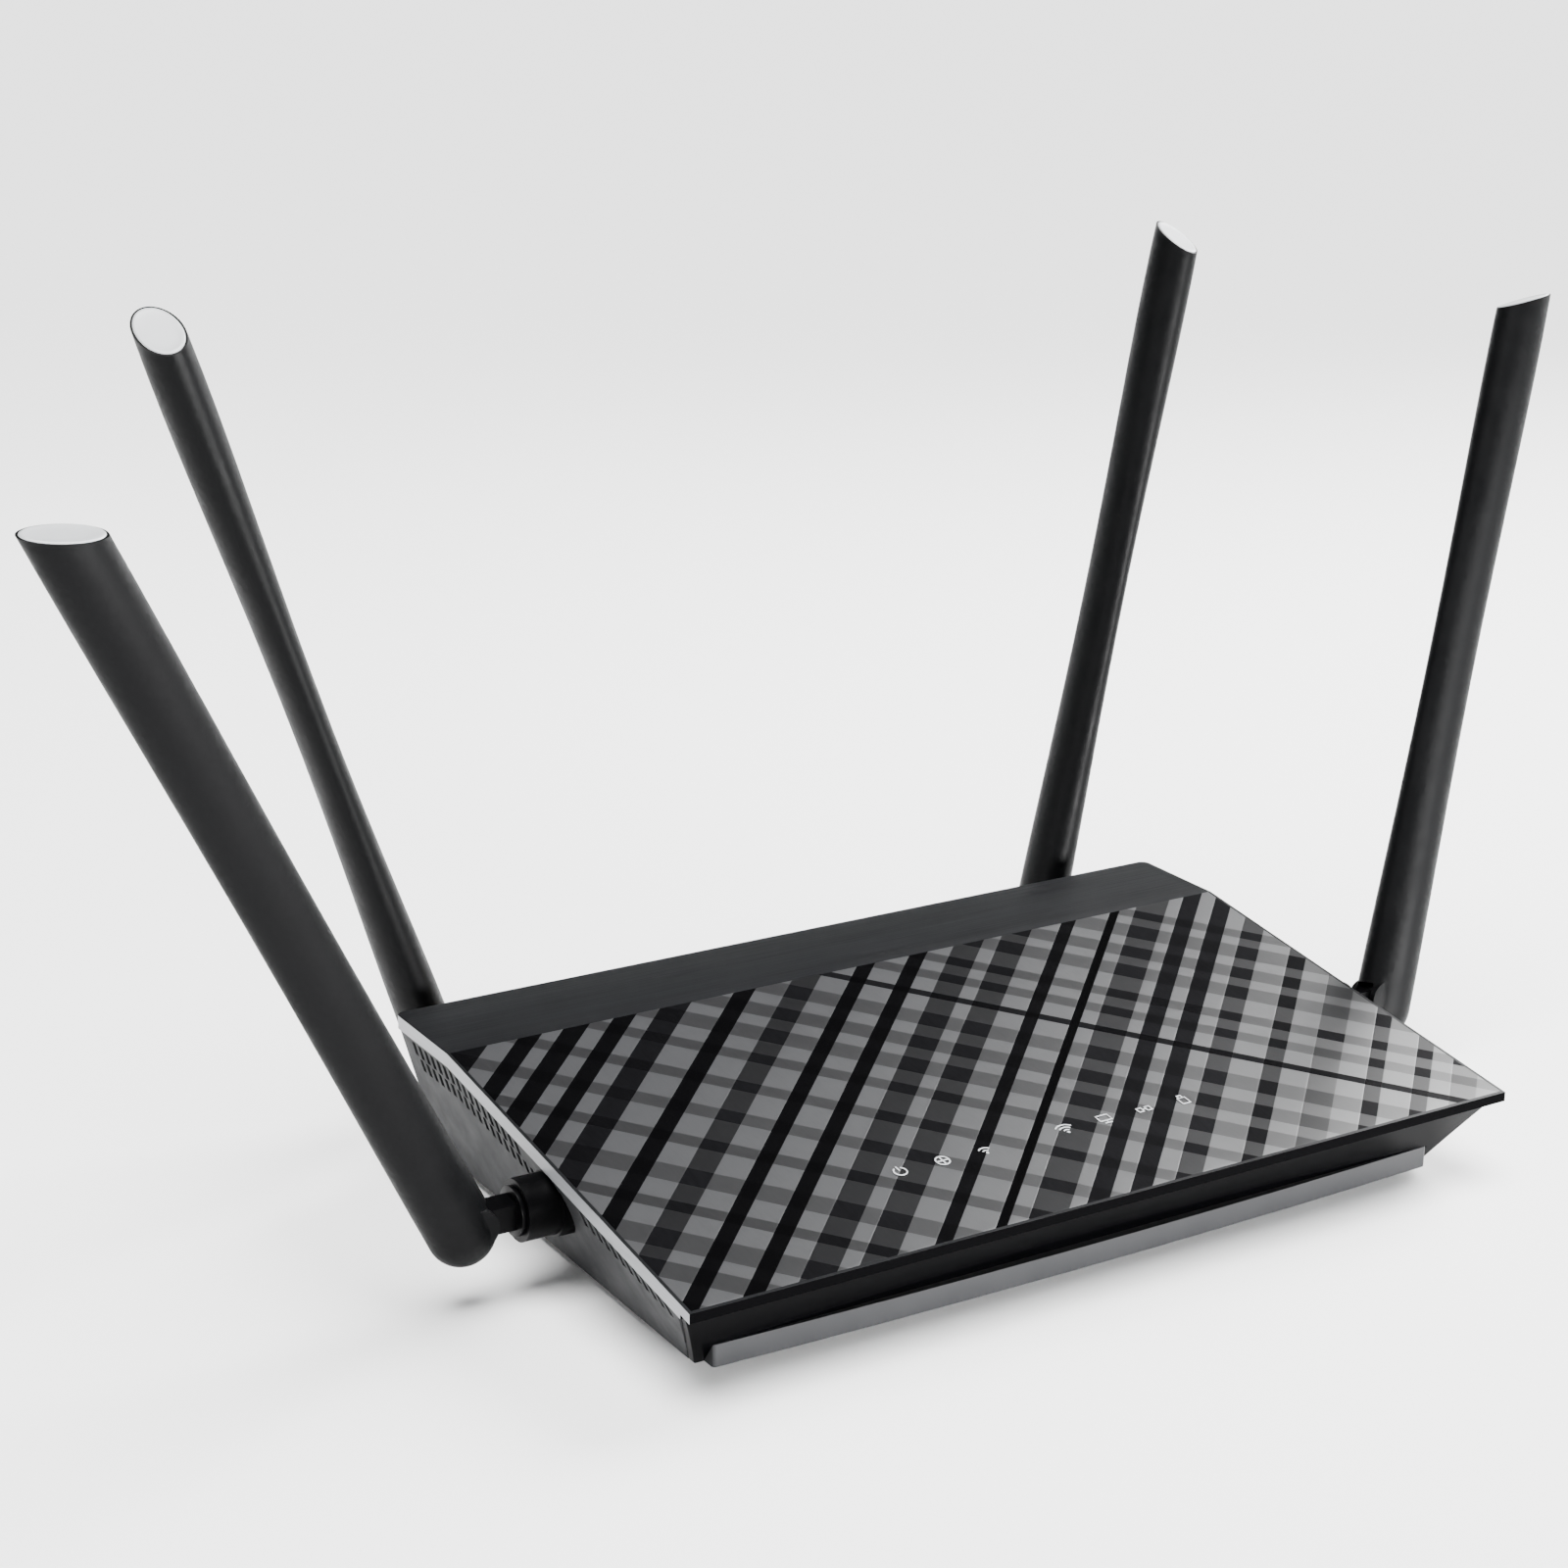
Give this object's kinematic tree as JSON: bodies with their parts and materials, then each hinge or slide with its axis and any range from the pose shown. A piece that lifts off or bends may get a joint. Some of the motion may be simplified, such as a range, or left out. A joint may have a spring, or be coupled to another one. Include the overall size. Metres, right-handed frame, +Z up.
{
  "type": "wireless router",
  "caption": "Low wedge-shaped wireless router with a sloping patterned cover, side vents, rear network ports, push buttons and swivelling, tilting paddle antennas.",
  "frame": {"origin": "centre of the casing's footprint on the plane that the rubber feet rest on", "axes": "+Z up, +Y towards the connector panel, so the low front edge faces -Y; +X is the casing's right side seen from the front"},
  "size_m": [0.4015, 0.1747, 0.1877],
  "materials": {
    "cover_plastic": "satin black, woven plaid relief on the sloping panel, fine brushed lines on the rear strip",
    "case_plastic": "fine-textured dark grey",
    "fascia_plastic": "glossy black",
    "antenna_plastic": "satin black",
    "foot_rubber": "matt",
    "clear_plastic": "frosted clear",
    "circuit_board": "green solder mask",
    "chip_resin": "moulded epoxy",
    "tin_plate": "tin plate",
    "screw_steel": "zinc plated",
    "sink_metal": "extruded",
    "pad_silicone": "soft silicone",
    "ferrite": "ferrite",
    "capacitor_can": "sleeved can",
    "contact_gold": "gold flash",
    "port_yellow": "moulded yellow",
    "port_blue": "moulded blue",
    "port_black": "moulded black",
    "button_plastic": "moulded",
    "cable_sleeve": "extruded sleeve"
  },
  "bodies": {
    "root": {"board_screws": "screw_steel", "bottom_case": "case_plastic", "case_screws": "screw_steel", "clock_crystal": "tin_plate", "filter_capacitors": "capacitor_can", "flash_chip": "chip_resin", "front_fascia": "fascia_plastic", "front_shield_can": "tin_plate", "heat_sink": "sink_metal", "inlet_pin": "contact_gold", "internet_jack": "port_blue", "jack_contacts": "contact_gold", "left_antenna_cable": "cable_sleeve", "left_antenna_collar": "antenna_plastic", "light_guides": "clear_plastic", "main_board": "circuit_board", "memory_chip": "chip_resin", "network_jack_block": "port_yellow", "network_transformers": "chip_resin", "power_button_switch": "port_black", "power_inductors": "ferrite", "power_inlet": "port_black", "processor": "chip_resin", "radio_chips": "chip_resin", "rear_left_antenna_cable": "cable_sleeve", "rear_left_antenna_collar": "antenna_plastic", "rear_right_antenna_cable": "cable_sleeve", "rear_right_antenna_collar": "antenna_plastic", "reset_button_switch": "port_black", "right_antenna_cable": "cable_sleeve", "right_antenna_collar": "antenna_plastic", "rubber_feet": "foot_rubber", "side_shield_can": "tin_plate", "status_leds": "clear_plastic", "switch_chip": "chip_resin", "thermal_pad": "pad_silicone", "top_cover": "cover_plastic", "usb_shell": "tin_plate", "usb_tongue": "port_black", "wps_button_switch": "port_black"},
    "left_swivel": {"left_antenna_knuckle": "antenna_plastic"},
    "left_antenna": {"left_antenna_blade": "antenna_plastic", "left_hinge_pin": "screw_steel", "left_radiator": "circuit_board"},
    "right_swivel": {"right_antenna_knuckle": "antenna_plastic"},
    "right_antenna": {"right_antenna_blade": "antenna_plastic", "right_hinge_pin": "screw_steel", "right_radiator": "circuit_board"},
    "rear_left_swivel": {"rear_left_antenna_knuckle": "antenna_plastic"},
    "rear_left_antenna": {"rear_left_antenna_blade": "antenna_plastic", "rear_left_hinge_pin": "screw_steel", "rear_left_radiator": "circuit_board"},
    "rear_right_swivel": {"rear_right_antenna_knuckle": "antenna_plastic"},
    "rear_right_antenna": {"rear_right_antenna_blade": "antenna_plastic", "rear_right_hinge_pin": "screw_steel", "rear_right_radiator": "circuit_board"},
    "power_button": {"power_button": "button_plastic"},
    "wps_button": {"wps_button": "button_plastic"},
    "reset_button": {"reset_button": "button_plastic"}
  },
  "joints": [
    {"name": "left_antenna_swivel", "type": "hinge", "parent": "root", "child": "left_swivel", "pos_m": [-0.09943, -0.005, 0.0192], "axis": [-1, 0, 0], "range_deg": [-81.6, 98.4]},
    {"name": "left_antenna_tilt", "type": "hinge", "parent": "left_swivel", "child": "left_antenna", "pos_m": [-0.11883, -0.005, 0.0192], "axis": [0, -0.9893, -0.1461], "range_deg": [-27.1, 62.9]},
    {"name": "right_antenna_swivel", "type": "hinge", "parent": "root", "child": "right_swivel", "pos_m": [0.09943, -0.005, 0.0192], "axis": [1, 0, 0], "range_deg": [-75.9, 104.1]},
    {"name": "right_antenna_tilt", "type": "hinge", "parent": "right_swivel", "child": "right_antenna", "pos_m": [0.11883, -0.005, 0.0192], "axis": [0, 0.9699, -0.2436], "range_deg": [-22.2, 67.8]},
    {"name": "rear_left_antenna_swivel", "type": "hinge", "parent": "root", "child": "rear_left_swivel", "pos_m": [-0.085, 0.062, 0.0192], "axis": [0, 1, 0], "range_deg": [-71.2, 88.8]},
    {"name": "rear_left_antenna_tilt", "type": "hinge", "parent": "rear_left_swivel", "child": "rear_left_antenna", "pos_m": [-0.085, 0.0814, 0.0192], "axis": [-0.9466, 0, -0.3223], "range_deg": [-0.3, 89.7]},
    {"name": "rear_right_antenna_swivel", "type": "hinge", "parent": "root", "child": "rear_right_swivel", "pos_m": [0.085, 0.062, 0.0192], "axis": [0, 1, 0], "range_deg": [-86.6, 73.4]},
    {"name": "rear_right_antenna_tilt", "type": "hinge", "parent": "rear_right_swivel", "child": "rear_right_antenna", "pos_m": [0.085, 0.0814, 0.0192], "axis": [-0.9583, 0, 0.2857], "range_deg": [-6.7, 83.3]},
    {"name": "power_button_press", "type": "slide", "parent": "root", "child": "power_button", "axis": [0, -1, 0], "range_m": [0, 0.0025], "stiffness_N_per_m": 600},
    {"name": "wps_button_press", "type": "slide", "parent": "root", "child": "wps_button", "axis": [0, -1, 0], "range_m": [0, 0.0012], "stiffness_N_per_m": 1000},
    {"name": "reset_button_press", "type": "slide", "parent": "root", "child": "reset_button", "axis": [0, -1, 0], "range_m": [0, 0.0008], "stiffness_N_per_m": 1200}
  ]
}
